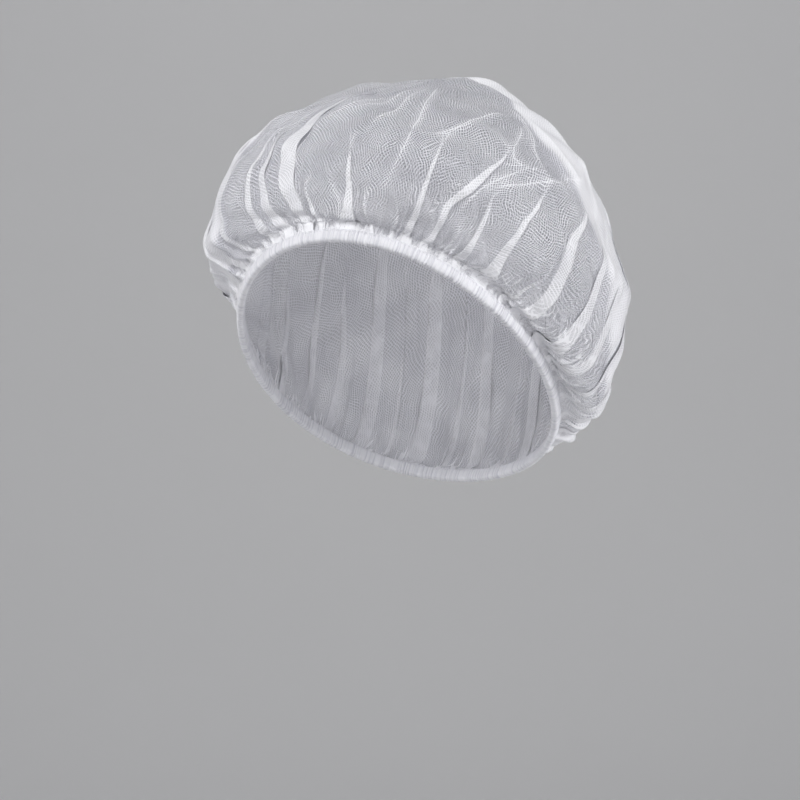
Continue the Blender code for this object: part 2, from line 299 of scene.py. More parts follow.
def around(rows, direction):
    """The rows' values at directions in degrees, on a smooth closed curve through them."""
    table = np.array([row[1:] for row in rows])
    place = np.asarray(direction) % 360 / (360 / len(rows))
    start = np.floor(place).astype(int)
    t = (place - start)[..., None]
    before, here, after, later = (table[(start + k) % len(rows)] for k in (-1, 0, 1, 2))
    blend = (-t + 2 * t**2 - t**3) * before + (2 - 5 * t**2 + 3 * t**3) * here
    blend += (t + 4 * t**2 - 3 * t**3) * after + (t**3 - t**2) * later
    return np.moveaxis(blend / 2, -1, 0)


def stack(*parts):
    return np.stack(np.broadcast_arrays(*parts), axis=-1)


def unit(vectors):
    return vectors / np.maximum(np.linalg.norm(vectors, axis=-1, keepdims=True), 1e-12)


def opening_point(direction):
    """Points on the lower inner edge of the hem."""
    a = np.radians(direction)
    forward = OPENING_LENGTH / 2 * np.cos(a)
    rise = forward * math.sin(OPENING_TILT) - SIDE_DIP * np.sin(a) ** 2
    return stack(OPENING_WIDTH / 2 * np.sin(a), -forward * math.cos(OPENING_TILT), rise)


def hem_axes(direction):
    """(outward, up) of the hem's cross-section."""
    along = unit(opening_point(direction + 0.5) - opening_point(direction - 0.5))
    plane_up = np.array([0, math.sin(OPENING_TILT), math.cos(OPENING_TILT)])
    level_out = unit(np.cross(along, plane_up))
    true_up = unit(np.cross(level_out, along))
    outward = level_out * math.cos(HEM_LEAN) - true_up * math.sin(HEM_LEAN)
    upward = true_up * math.cos(HEM_LEAN) + level_out * math.sin(HEM_LEAN)
    return outward, upward


def hem_place(direction, out, up):
    """Points of the hem's cross-section: out from its inner face, up from its lower edge."""
    outward, upward = hem_axes(direction)
    out, up = np.asarray(out)[..., None], np.asarray(up)[..., None]
    return opening_point(direction) + outward * out + upward * up


def dome_turn(share):
    """The angle over the dome: 0 at the bag's fullest line and a quarter turn at the crown."""
    return np.clip((share - LOWER_SHARE) / (1 - LOWER_SHARE), 0, 1) * math.pi / 2


def smooth_bag(direction, share):
    """Points of the bag with no folds."""
    direction, share = np.broadcast_arrays(np.asarray(direction, float), np.asarray(share, float))
    height, droop, spread, fullness = around(HANG, direction)
    a = np.radians(direction)
    widest = stack(
        BAG_WIDTH / 2 * np.sin(a) * fullness,
        BAG_SETBACK - BAG_LENGTH / 2 * np.cos(a) * fullness,
        CROWN_HEIGHT * height,
    )
    crown = np.array([0, CROWN_SETBACK, CROWN_HEIGHT])
    turn = dome_turn(share)
    dome = crown + (widest - crown) * np.cos(turn)[..., None]
    dome[..., 2] = widest[..., 2] + (CROWN_HEIGHT - widest[..., 2]) * np.sin(turn)
    outward, upward = hem_axes(direction)
    rim_out = np.full(direction.shape, HEM_THICKNESS - HEM_WALL / 2)
    rim = hem_place(direction, rim_out, np.full(direction.shape, NET_START))
    stand = rim + upward * COLLAR_RISE
    # The collar turns out further where the net droops.
    turn_out = stand + outward * (COLLAR_REACH * (0.25 + 0.75 * np.clip(droop / 0.5, 0, 1)))[..., None]
    hang = rim + (widest - rim) * spread[..., None]
    hang[..., 2] = rim[..., 2] - DROOP * droop
    below = widest.copy()
    below[..., 2] = (widest[..., 2] + hang[..., 2]) / 2
    points = [rim, stand, turn_out, hang, below, widest]
    t = np.clip(share / LOWER_SHARE, 0, 1)[..., None]
    while len(points) > 1:
        points = [p + (q - p) * t for p, q in zip(points, points[1:])]
    return np.where((share >= LOWER_SHARE)[..., None], dome, points[0])


def roundness(share):
    """How far out the dome stands at a share, from 1 at its fullest to 0 at the crown."""
    return np.cos(dome_turn(share))


def facing(direction, share):
    """The way out of the smooth bag, square to its surface."""
    low, high = np.maximum(share - 0.006, 0), np.minimum(share + 0.006, 0.995)
    across = smooth_bag(direction + 0.6, share) - smooth_bag(direction - 0.6, share)
    return unit(np.cross(across, smooth_bag(direction, high) - smooth_bag(direction, low)))


# Rows and columns of the net

def row_shares():
    """The share of each row and its way up from the hem, spaced as on a middling line of the bag."""
    share = np.linspace(0, 0.985, 1500)
    paths = np.stack([smooth_bag(np.full(share.shape, d), share) for d in (0, 45, 90, 180, 270)])
    steps = np.linalg.norm(np.diff(paths, axis=1), axis=-1).mean(0)
    length = np.concatenate(([0], np.cumsum(steps)))
    at, gaps = (np.array(column) for column in zip(*ROW_SPACING))
    marks = [0.0]
    while marks[-1] < length[-1]:
        marks.append(marks[-1] + float(np.interp(marks[-1], at, gaps)))
    marks = np.array(marks) * length[-1] / marks[-1]
    return np.interp(marks, length, share), marks


def tuck_line(points, shares):
    """(direction, overlap) of a tuck at each row, along a smooth line through its points."""
    direction, share, overlap = (np.array(column, float) for column in zip(*points))
    fine = np.linspace(share[0], 1.0, 400)
    line = np.interp(fine, share, direction)
    size = np.interp(fine, share, overlap)
    beyond = fine > share[-1]
    size[beyond] = overlap[-1] * np.maximum(1 - (fine[beyond] - share[-1]) / 0.08, 0)
    kernel = np.hanning(23)
    kernel /= kernel.sum()
    padded = [np.concatenate((np.full(11, v[0]), v, np.full(11, v[-1]))) for v in (line, size)]
    line, size = (np.convolve(v, kernel, "valid") for v in padded)
    return np.interp(shares, fine, line), np.interp(shares, fine, size) / 1000


def ripple(turn, count, seed, spread=0.22):
    """A wandering wave with sharp crests, from -1 to 1, about count times round the cap."""
    waves = np.random.default_rng(seed)
    total = np.zeros_like(turn)
    for _ in range(5):
        often = max(1, round(count * (1 + spread * waves.uniform(-1, 1))))
        total += waves.uniform(0.6, 1.0) * np.sin(2 * math.pi * (often * turn + waves.random()))
    total /= 2.2
    return 1 - 2 * np.minimum(np.abs(total), 1) ** 0.8


def line_distance(points, out, line):
    """How far each point is from a line in space, how far along it, from 0 to 1, and on which side."""
    best = np.full(points.shape[:-1], 1e9)
    along = np.zeros(points.shape[:-1])
    side = np.ones(points.shape[:-1])
    lengths = np.linalg.norm(np.diff(line, axis=0), axis=1)
    starts = np.concatenate(([0], np.cumsum(lengths)))
    for a, b, start in zip(line, line[1:], starts):
        t = np.clip(((points - a) @ (b - a)) / max((b - a) @ (b - a), 1e-12), 0, 1)
        apart = np.linalg.norm(points - (a + t[..., None] * (b - a)), axis=-1)
        closer = apart < best
        best = np.where(closer, apart, best)
        along = np.where(closer, (start + t * np.linalg.norm(b - a)) / starts[-1], along)
        side = np.where(closer, np.sign(np.sum(np.cross(b - a, points - a) * out, axis=-1)), side)
    return best, along, side


def smooth_step(value):
    value = np.clip(value, 0, 1)
    return value * value * (3 - 2 * value)


# A tuck's cross-section, three layers deep: across in half overlaps, nudged in from a crease, and up.
TUCK_ACROSS = np.array([0, -1.15, -1, 0, 1, 1, 1, 0, -1, -1, -1, 0, 1, 1.15, 0])
TUCK_NUDGE = np.array([0, 0, 0, 0, -1, 0, -1, 0, 1, 0, 1, 0, 0, 0, 0])
TUCK_RISE = np.array([0, 0.4, 0.5, 0.8, 1.0, 0.9, 0.75, 0.45, 0.14, 0.02, -0.08, -0.05, 0, 0, 0])
TUCK_EDGE = np.array([0, 0, 0, 0, 0, 1.0, 0, 0, 0, 1.0, 0, 0, 0, 0, 0])
TUCK_PRESSED = np.array([0, 0, 1, 1, 1, 1, 1, 1, 1, 1, 1, 1, 1, 0, 0])


def tuck_rows(shares):
    """Which way each tuck lies, and its middle and overlap at each row, in order round the cap."""
    lines = sorted(
        ((lay, *tuck_line(points, shares)) for lay, points in TUCKS),
        key=lambda tuck: tuck[1][0],
    )
    lay = np.array([tuck[0] for tuck in lines])
    middle = np.stack([tuck[1] for tuck in lines], axis=1)
    overlap = np.stack([tuck[2] for tuck in lines], axis=1)
    # From direction 100 round to 330, each tuck is narrower or a little wider than its row says.
    behind = (middle[0] > 100) & (middle[0] < 330)
    unlike = np.where(behind, np.random.default_rng(5).uniform(0.35, 1.25, len(lines)), 1.0)
    return lay, middle, overlap * unlike


def tuck_room(middle, overlap, per_degree):
    """The room from each tuck to the next, what it takes on its left and right, all in degrees, and its
    overlap kept within them."""
    room = np.concatenate((middle[:, 1:], middle[:, :1] + 360), axis=1) - middle
    room = np.maximum(room, LEAST_ROOM)
    weight = overlap + 0.002
    following = np.roll(weight, -1, axis=1)
    right = TUCKED_SHARE * room * weight / (weight + following)
    left = TUCKED_SHARE * np.roll(room * following / (weight + following), 1, axis=1)
    overlap = np.minimum(overlap, 1.7 * np.minimum(left, right) * per_degree)
    close = (0.60 * overlap + 0.003) / per_degree
    folded = smooth_step(overlap / FOLDED_AT)
    left, right = (side + (np.minimum(side, close) - side) * folded for side in (left, right))
    return room, left, right, overlap


def tuck_points(lay, middle, left, right, overlap, per_degree, marks):
    """The points across each tuck: their directions, folded and laid plain, their lift and measures."""
    folded = smooth_step(overlap / FOLDED_AT)[..., None]
    crease_gap = np.minimum(CREASE_GAP, overlap / 5)[..., None]
    tall = TUCK_HEIGHT + TUCK_HEIGHT_PER_OVERLAP * overlap
    tall = tall * smooth_step(0.3 + marks[:, None] * 1000 / 6)
    forward = (lay > 0)[None, :, None]

    def either_way(section):
        return np.where(forward, section, section[::-1])

    across = np.where(
        forward,
        TUCK_ACROSS * overlap[..., None] / 2 + TUCK_NUDGE * crease_gap,
        -TUCK_ACROSS[::-1] * overlap[..., None] / 2 - TUCK_NUDGE[::-1] * crease_gap,
    )
    across[..., 0], across[..., -1] = -left * per_degree, right * per_degree
    plain = np.linspace(0, 1, TUCK_STEPS) * ((left + right) * per_degree)[..., None]
    plain = plain - (left * per_degree)[..., None]
    across = across * folded + plain * (1 - folded)
    return dict(
        direction=middle[..., None] + across / per_degree[..., None],
        settled=middle[..., None] + plain / per_degree[..., None],
        lift=either_way(TUCK_RISE) * tall[..., None] * folded,
        edge=either_way(TUCK_EDGE) * smooth_step(overlap / EDGED_AT)[..., None],
        pressed=either_way(TUCK_PRESSED) * smooth_step(overlap / PRESSED_AT)[..., None],
        in_tuck=folded + np.zeros_like(across),
    )


def panel_points(middle, room, left, right, shares, marks):
    """The points between tucks, where the net swells out, in some places more than in others."""
    t = np.linspace(0, 1, PANEL_STEPS + 2)[1:-1]
    end = middle + room - np.roll(left, -1, axis=1)
    direction = (middle + right)[..., None] + (end - middle - right)[..., None] * t
    swell = np.random.default_rng(3).uniform(0.4, 1.6, middle.shape[1])
    reach_up = np.random.default_rng(4).uniform(0.35, 0.7, middle.shape[1])
    fade = np.clip(1 - shares[:, None] / reach_up, 0, 1) * np.clip(marks[:, None] / 0.010, 0, 1)
    billow = BILLOW * (swell * fade)[..., None] * np.sin(t * math.pi)
    none = np.zeros_like(direction)
    return dict(direction=direction, settled=direction, lift=billow, edge=none, pressed=none, in_tuck=none)


def net_columns(shares, marks):
    """Every row's points, tucks and panels in turn: their directions, lift and measures."""
    lay, middle, overlap = tuck_rows(shares)
    level = shares[:, None] + np.zeros_like(middle)
    one_degree = smooth_bag(middle + 0.5, level) - smooth_bag(middle - 0.5, level)
    per_degree = np.linalg.norm(one_degree, axis=-1)
    room, left, right, overlap = tuck_room(middle, overlap, per_degree)
    tucks = tuck_points(lay, middle, left, right, overlap, per_degree, marks)
    panels = panel_points(middle, room, left, right, shares, marks)
    rows = len(shares)
    return {
        name: np.concatenate((tucks[name], panels[name]), axis=2).reshape(rows, -1)
        for name in tucks
    }


def add_slack(lift, direction, turn, share, rise, in_tuck):
    """Lift the points by the wrinkles above the hem, the broad waves and the swells."""
    for level, (often, height, reach) in enumerate(WRINKLES):
        sway = 3 * np.sin(2 * math.pi * turn * 7 + level)
        drift = 0.35 / often * np.sin(rise * (140 / (level + 1)) + sway)
        wave = ripple(turn + drift, often, 20 + level)
        grow = np.clip(rise / 0.002, 0.25, 1)
        fade = np.exp(-((rise * 1000 / reach) ** 1.3))
        lift += height / 1000 * wave * fade * grow * (1 - 0.5 * in_tuck)
    broad = 0.0
    for often, slope, seed in ((5, 3.0, 1), (9, 5.0, 2), (13, 8.0, 3)):
        wave = np.sin(2 * math.pi * (often * turn + slope * share / 3 + 0.37 * seed))
        beat = slope * share * 0.7 + 0.21 * seed + turn * (seed % 2 + 1)
        broad = broad + wave * np.sin(2 * math.pi * beat)
    lift += BROAD_WAVE * broad * np.clip(rise / 0.03, 0, 1) * np.clip((1 - share) / 0.15, 0, 1)
    girth = roundness(share)
    for at, up, wide, high, height in SWELLS:
        apart = ((direction - at + 180) % 360 - 180) / wide * np.minimum(girth / roundness(up), 1)
        lift += height / 1000 * np.exp(-(apart**2 + ((share - up) / high) ** 2))


def add_creases(lift, base, out):
    """Lift the points near each crease. Gives how strong the nearest crease is and its distance in mm, less
    than 0 on one side of it."""
    crease, beside = np.zeros_like(lift), np.full_like(lift, FAR_FROM_CREASE)
    for height, breadth, line in CREASES:
        a, b = (np.array(column, float) for column in zip(*line))
        a = np.degrees(np.unwrap(np.radians(a)))
        t = np.linspace(0, len(a) - 1, 40)
        bends = smooth_bag(np.interp(t, np.arange(len(a)), a), np.interp(t, np.arange(len(a)), b))
        middle = bends.mean(0)
        reach = np.linalg.norm(bends - middle, axis=1).max() + 0.015
        near = np.linalg.norm(base - middle, axis=-1) < reach
        apart, along, side = line_distance(base[near], out[near], bends)
        ends = np.clip(np.minimum(along, 1 - along) / 0.25, 0, 1)
        lift[near] += height / 1000 * np.exp(-apart / (breadth / 600)) * ends
        nearer = apart < np.abs(beside[near])
        beside[near] = np.where(nearer, apart * side, beside[near])
        crease[near] = np.where(nearer, ends * min(height / 1.5, 1.0), crease[near])
    return crease, beside * 1000


def slackness_and_back_shade(direction, share):
    """0 where the net is drawn out, 1 where it hangs slack beside that, and 0.7 at the back, where the lower
    value paints the net darker as painted shade.
    """
    at, start, end = (np.array(column, float) for column in zip(*DRAWN_OUT))
    start, end = np.interp(share, at, start), np.interp(share, at, end)
    apart = (direction - (start + end) / 2 + 180) % 360 - 180
    slack = smooth_step((np.abs(apart) - (end - start) / 2) / 12 + 0.5)
    # Lowered at the back, making the net there darker and more open: painted shade for the inside seen
    # through the front.
    return slack * (1 - 0.3 * smooth_step((np.abs(apart) - 100) / 30))


def flat_cloth(points, base, settled, share, in_tuck):
    """Each point's place on the flat round: its radius, and its angle with a last column that closes the
    ring. What the bag has too much of is taken up inside the tucks."""
    smooth_steps = np.linalg.norm(np.diff(smooth_bag(settled, share), axis=0), axis=-1)
    left_over = np.linalg.norm(base[-1] - np.array([0, CROWN_SETBACK, CROWN_HEIGHT]), axis=-1)
    radius = np.concatenate((np.cumsum(smooth_steps[::-1], axis=0)[::-1] + left_over, left_over[None]))
    arc = np.linalg.norm(np.roll(points, -1, axis=1) - points, axis=-1)
    whole, tucked = arc.sum(1), (arc * in_tuck).sum(1)
    ring = 2 * math.pi * radius.mean(1)
    plain = np.clip(ring / whole, 0.95, 1.18)
    dense = np.clip((ring - plain * (whole - tucked)) / np.maximum(tucked, 1e-4), 0.6, 1.6)
    flat_step = (plain[:, None] + (dense - plain)[:, None] * in_tuck) * arc / radius
    angle = np.concatenate((np.zeros((len(arc), 1)), np.cumsum(flat_step, axis=1)), axis=1)
    return radius, angle / angle[:, -1:] * 2 * math.pi


def net_grid():
    """The net's points row by row, how far round and up each is, its place on the flat cloth, and the
    measures that its material reads."""
    shares, marks = row_shares()
    columns = net_columns(shares, marks)
    direction, settled = columns["direction"], columns["settled"]
    lift, in_tuck = columns["lift"], columns["in_tuck"]
    share = shares[:, None] + np.zeros_like(direction)
    rise = marks[:, None] + np.zeros_like(direction)
    add_slack(lift, direction, settled / 360, share, rise, in_tuck)
    base, out = smooth_bag(direction, share), facing(direction, share)
    crease, beside = add_creases(lift, base, out)
    points = base + out * lift[..., None]
    measures = dict(
        edge=columns["edge"],
        pressed=columns["pressed"],
        slack=slackness_and_back_shade(direction, share),
        crease=crease,
        beside=beside,
    )
    return points, direction / 360, rise, flat_cloth(points, base, settled, share, in_tuck), measures


def net_mesh():
    """The net as one sheet, gathered to a point at the crown."""
    points, turn, rise, (radius, angle), measures = net_grid()
    rows, count = points.shape[:2]
    vertices = np.concatenate((points.reshape(-1, 3), points[-1].mean(0)[None]))
    i, j = np.meshgrid(np.arange(rows - 1), np.arange(count), indexing="ij")
    k = (j + 1) % count
    quads = np.stack((i * count + j, i * count + k, (i + 1) * count + k, (i + 1) * count + j), axis=-1)
    quads = quads.reshape(-1, 4)
    last = (rows - 1) * count
    caps = [(last + c, last + (c + 1) % count, rows * count) for c in range(count)]
    mesh = bpy.data.meshes.new("net")
    mesh.from_pydata(vertices.tolist(), [], quads.tolist() + caps)
    # Corner coordinates: the flat cloth, and the way along and up from the hem.
    flat = np.stack((radius * np.cos(angle[:, :-1]), radius * np.sin(angle[:, :-1])), axis=-1)
    flat_end = np.stack((radius * np.cos(angle[:, 1:]), radius * np.sin(angle[:, 1:])), axis=-1)
    turn = np.concatenate((turn, turn[:, :1] + 1), axis=1) * HEM_ROUND
    up = rise[:, 0]

    def corners(lower_left, lower_right):
        body = np.stack((lower_left[:-1], lower_right[:-1], lower_right[1:], lower_left[1:]), axis=2)
        return body.reshape(-1, 2)

    cap_flat = np.stack((flat[-1], flat_end[-1], np.zeros((count, 2))), axis=1).reshape(-1, 2)
    left = np.stack(np.broadcast_arrays(turn[:, :-1], up[:, None]), axis=-1)
    right = np.stack(np.broadcast_arrays(turn[:, 1:], up[:, None]), axis=-1)
    cap_run = np.stack((left[-1], right[-1], (left[-1] + right[-1]) / 2 + [0, 0.003]), axis=1).reshape(-1, 2)
    layers = (("cloth", corners(flat, flat_end), cap_flat), ("run", corners(left, right), cap_run))
    for name, body, cap in layers:
        layer = mesh.uv_layers.new(name=name)
        layer.data.foreach_set("uv", np.concatenate((body, cap)).astype(np.float32).ravel())
    for name, values in measures.items():
        held = mesh.attributes.new(name, "FLOAT", "POINT")
        held.data.foreach_set("value", np.concatenate((values.ravel(), [0.0])).astype(np.float32))
    mesh.shade_smooth()
    piece = bpy.data.objects.new("net", mesh)
    bpy.context.scene.collection.objects.link(piece)
    return piece


# Materials

class Value:
    """A shader socket that can be used in Python sums."""

    def __init__(self, tree, socket):
        self.tree, self.socket = tree, socket

    def math(self, operation, *others, clamp=False):
        return self.tree.node("ShaderNodeMath", dict(operation=operation, use_clamp=clamp), self, *others)

    def __add__(self, other):
        return self.math("ADD", other)

    __radd__ = __add__

    def __mul__(self, other):
        return self.math("MULTIPLY", other)

    __rmul__ = __mul__

    def __sub__(self, other):
        return self.math("SUBTRACT", other)

    def __rsub__(self, other):
        return self.tree.number(other).math("SUBTRACT", self)

    def __truediv__(self, other):
        return self.math("DIVIDE", other)

    def high(self, other):
        return self.math("MAXIMUM", other)

    def clip(self):
        return self.math("ADD", 0.0, clamp=True)

    def wave(self):
        """Distance from the nearest whole number, from 0 to 0.5."""
        return self.math("PINGPONG", 0.5)

    def ramp(self, start, end):
        """0 below start and 1 above end, smoothly."""
        settings = dict(interpolation_type="SMOOTHSTEP")
        return self.tree.node("ShaderNodeMapRange", settings, self, start, end, 0.0, 1.0)


class Tree:
    """A material's nodes."""

    def __init__(self, name):
        self.material = bpy.data.materials.new(name)
        self.material.use_nodes = True
        self.nodes = self.material.node_tree.nodes
        self.links = self.material.node_tree.links
        self.shader = self.nodes["Principled BSDF"]

    def node(self, kind, settings, *values, out=0, **named):
        made = self.nodes.new(kind)
        for key, value in settings.items():
            setattr(made, key, value)
        for place, value in list(enumerate(values)) + list(named.items()):
            socket = made.inputs[place] if isinstance(place, int) else made.inputs[place.replace("_", " ")]
            if isinstance(value, Value):
                self.links.new(value.socket, socket)
            else:
                socket.default_value = value
        return Value(self, made.outputs[out])

    def number(self, value):
        return self.node("ShaderNodeMath", dict(operation="ADD"), float(value), 0.0)

    def uv(self, name):
        return self.node("ShaderNodeUVMap", dict(uv_map=name))

    def attribute(self, name):
        return self.node("ShaderNodeAttribute", dict(attribute_name=name), out="Fac")

    def noise(self, vector, scale, detail=2.0, dimensions="3D"):
        settings = dict(noise_dimensions=dimensions)
        return self.node("ShaderNodeTexNoise", settings, Vector=vector, Scale=scale, Detail=detail)

    def split(self, vector):
        made = self.nodes.new("ShaderNodeSeparateXYZ")
        self.links.new(vector.socket, made.inputs[0])
        return [Value(self, socket) for socket in made.outputs]

    def join(self, x, y, z=0.0):
        return self.node("ShaderNodeCombineXYZ", {}, x, y, z)

    def bump(self, height, distance, strength=1.0):
        return self.node("ShaderNodeBump", {}, Strength=strength, Distance=distance, Height=height)

    def colours(self, factor, first, second):
        made = self.nodes.new("ShaderNodeMix")
        made.data_type = "RGBA"
        self.links.new(factor.socket, made.inputs["Factor"])
        made.inputs[6].default_value = (*first, 1)
        made.inputs[7].default_value = (*second, 1)
        return Value(self, made.outputs[2])

    def set(self, **sockets):
        for name, value in sockets.items():
            socket = self.shader.inputs[name.replace("_", " ")]
            if isinstance(value, Value):
                self.links.new(value.socket, socket)
            else:
                socket.default_value = value
        return self.material


# Each slot's colours, from thin or shaded to dense.
NET_COLOURS = (0.41, 0.41, 0.47), (0.86, 0.86, 0.89)
HEM_COLOURS = (0.48, 0.48, 0.54), (0.84, 0.84, 0.87)
THREAD_COLOURS = (0.80, 0.80, 0.84), (0.92, 0.92, 0.95)
ELASTIC_COLOURS = (0.72, 0.72, 0.76), (0.93, 0.93, 0.95)
STUDIO_COLOURS = (0.68, 0.68, 0.69), (0.70, 0.70, 0.71)


def net_material():
    """Open net of two slanting families of strands, with loose fibres, closed up where it is gathered; above
    the hem at the left side the closed teeth also paint light over a shaded groove.
    """
    t = Tree("net")
    cloth, run = t.uv("cloth"), t.uv("run")
    x, y, _ = t.split(cloth)
    along, up, _ = t.split(run)
    slow = t.noise(cloth, 55.0, 2.0)
    slower = t.noise(t.join(x + 3.1, y - 1.7), 55.0, 2.0)
    quick = t.noise(cloth, 480.0, 1.0)
    quicker = t.noise(t.join(x - 2.3, y + 5.1), 480.0, 1.0)
    px = x + (slow - 0.5) * STRAND_WANDER + (quick - 0.5) * STRAND_SHAKE
    py = y + (slower - 0.5) * STRAND_WANDER + (quicker - 0.5) * STRAND_SHAKE
    c, s = math.cos(STRAND_SLANT), math.sin(STRAND_SLANT)
    first = (px * c + py * s) / NET_PITCH
    second = (px * c - py * s) / NET_PITCH
    breadth = t.noise(t.join(x + 9.0, y), 1000.0, 1.0) * 0.14 - 0.07
    strong = t.noise(t.join(x + 4.0, y + 1.0), 130.0, 2.0).ramp(0.35, 0.65)
    strand_one = 1 - ((first + 100.0).wave() - breadth).ramp(0.12, 0.20)
    strand_two = 1 - ((second + 100.0).wave() - breadth).ramp(0.12, 0.20)
    strands = (strand_one * (0.72 + strong * 0.26)).high(strand_two * (0.98 - strong * 0.26))
    cloud = t.noise(t.join(x - 7.0, y + 2.0), 110.0, 3.0).ramp(0.45, 0.75)
    fibres = t.noise(t.join(x * 2.4, y), 1500.0, 1.0).ramp(0.45, 0.75)
    # The slack measure is lower at the back, and the darker tone it gives there is painted shade.
    slack, layers = t.attribute("slack"), t.attribute("pressed")
    haze = cloud * 0.08 + fibres * 0.02 + (slack * 0.84).high(layers * (cloud * 0.16 + 0.70))
    # Above the hem the gathers close the net in upright teeth of uneven height, taller at the left side,
    # where they also serve as painted light over the shaded groove between the hem and the bag.
    wander = t.noise(t.join(along * 140.0, up * 30.0), 1.0, 1.0, dimensions="2D")
    tall = t.noise(t.join(along * 110.0 + 7.0, up * 15.0), 1.0, 1.0, dimensions="2D").ramp(0.35, 0.65)
    tooth = 1 - (along * 290.0 + wander * 5.0 + 100.0).wave() * 2.0
    small = 1 - (along * 760.0 + wander * 7.0 + 100.0).wave() * 2.0
    # From about direction 32 to 176 the closed, whiter teeth reach higher: taller gathers, and painted light
    # over the shaded groove above the hem.
    side_teeth_and_painted_light = along.ramp(0.045, 0.085) * (1 - along.ramp(0.19, 0.25))
    height = tooth * (tall * 14.0 + 5.0 + side_teeth_and_painted_light * 9.0) + small * (side_teeth_and_painted_light * 4.0 + 3.0) + fibres * 1.6 - 0.6
    closed = (height - up * 1000.0).ramp(0.0, 1.1)
    # Along each crease a narrow line and a wider halo are painted whiter and closer: partly the pinched,
    # denser net, and partly a painted highlight along the crest.
    line = 1 - t.attribute("beside").math("ABSOLUTE").ramp(0.15, 0.75)
    halo = 1 - t.attribute("beside").math("ABSOLUTE").ramp(0.5, 4.0)
    bent_and_highlight = t.attribute("crease") * (line * 0.85).high(halo * 0.34)
    pressed = (t.attribute("edge").ramp(0.25, 0.95) * 0.7).high(bent_and_highlight)
    cover = strands + (1 - strands) * haze
    cover = cover + (1 - cover) * (closed * 0.90).high(pressed)
    plainer = 1 - (slack * 0.80).high(layers * 0.75)
    folded = (slack * 0.28 + slack.ramp(0.6, 1.0) * 0.5).high(layers * 0.75) + pressed * 0.6
    tone = t.noise(cloth, 35.0, 2.0).ramp(0.3, 0.7) * 0.25 + strands * plainer * 0.65 + closed * 0.6 + folded
    t.set(
        Base_Color=t.colours(tone.clip(), *NET_COLOURS),
        Roughness=0.62,
        Alpha=cover.clip(),
        Normal=t.bump(strands * plainer * 0.7 + fibres * 0.3, 0.0002, 0.6),
    )
    return t.material


def hem_material():
    """The same net turned in and gathered tight: nearly solid white, finely ribbed, with painted shade in
    the grooves between the gathers.
    """
    t = Tree("hem")
    run = t.uv("run")
    along, up, _ = t.split(run)
    ribs = t.noise(t.join(along * 900.0, up * 60.0), 1.0, 2.0, dimensions="2D")
    fine = t.noise(run, 1500.0, 2.0)
    # Where a gather pushes in, the colour is painted darker: painted shade in the grooves.
    groove_shade = t.attribute("groove_shade").ramp(-0.9, 0.0)
    shade = (ribs.ramp(0.25, 0.55) * 0.35 + fine * 0.20 + 0.45) * (groove_shade * 0.45 + 0.55)
    t.set(
        Base_Color=t.colours(shade, *HEM_COLOURS),
        Roughness=0.66,
        Normal=t.bump(ribs * 0.6 + fine * 0.4, 0.0004, 0.8),
    )
    return t.material


def thread_material():
    t = Tree("thread")
    place = t.node("ShaderNodeTexCoord", {}, out="Object")
    twist = t.noise(place, 2200.0, 1.0)
    t.set(
        Base_Color=t.colours(twist, *THREAD_COLOURS),
        Roughness=0.5,
        Normal=t.bump(twist, 0.0001, 0.7),
    )
    return t.material


def elastic_material():
    """Knitted elastic: fine ribs along its length and a knit across them."""
    t = Tree("elastic")
    place = t.node("ShaderNodeTexCoord", {}, out="Object")
    x, _, z = t.split(place)
    rib = (z * 1400.0 + x * 300.0 + 100.0).wave() * 2.0
    knit = t.noise(place, 1600.0, 2.0)
    t.set(
        Base_Color=t.colours(rib * 0.6 + knit * 0.4, *ELASTIC_COLOURS),
        Roughness=0.6,
        Normal=t.bump(rib * 0.7 + knit * 0.3, 0.0003, 0.8),
    )
    return t.material


# The hem

def hem_section():
    """The channel's cross-section round from its inner top edge, as (out, up, share in the gathers)."""
    inner, outer = HEM_WALL, HEM_THICKNESS - HEM_WALL
    return np.array([
        (0.0003, HEM_TOP, 0.2),
        (0.0, HEM_TOP - 0.0004, 0.6),
        (-0.0001, 0.0040, 0.8),
        (0.0, 0.0018, 0.8),
        (0.0002, 0.0004, 0.8),
        (0.0008, -0.0002, 1.0),
        (0.0018, -0.0003, 1.0),
        (0.0028, -0.0001, 1.0),
        (0.0034, 0.0006, 1.0),
        (0.0036, 0.0018, 1.0),
        (0.00375, 0.0032, 1.0),
        (0.0036, 0.0046, 1.0),
        (0.0034, 0.0056, 0.9),
        (0.0031, HEM_TOP, 0.8),
        (outer + 0.0001, HEM_TOP, 0.3),
        (outer, HEM_WALL, 0.0),
        (inner, HEM_WALL, 0.0),
        (inner, HEM_TOP - 0.0001, 0.0),
    ])


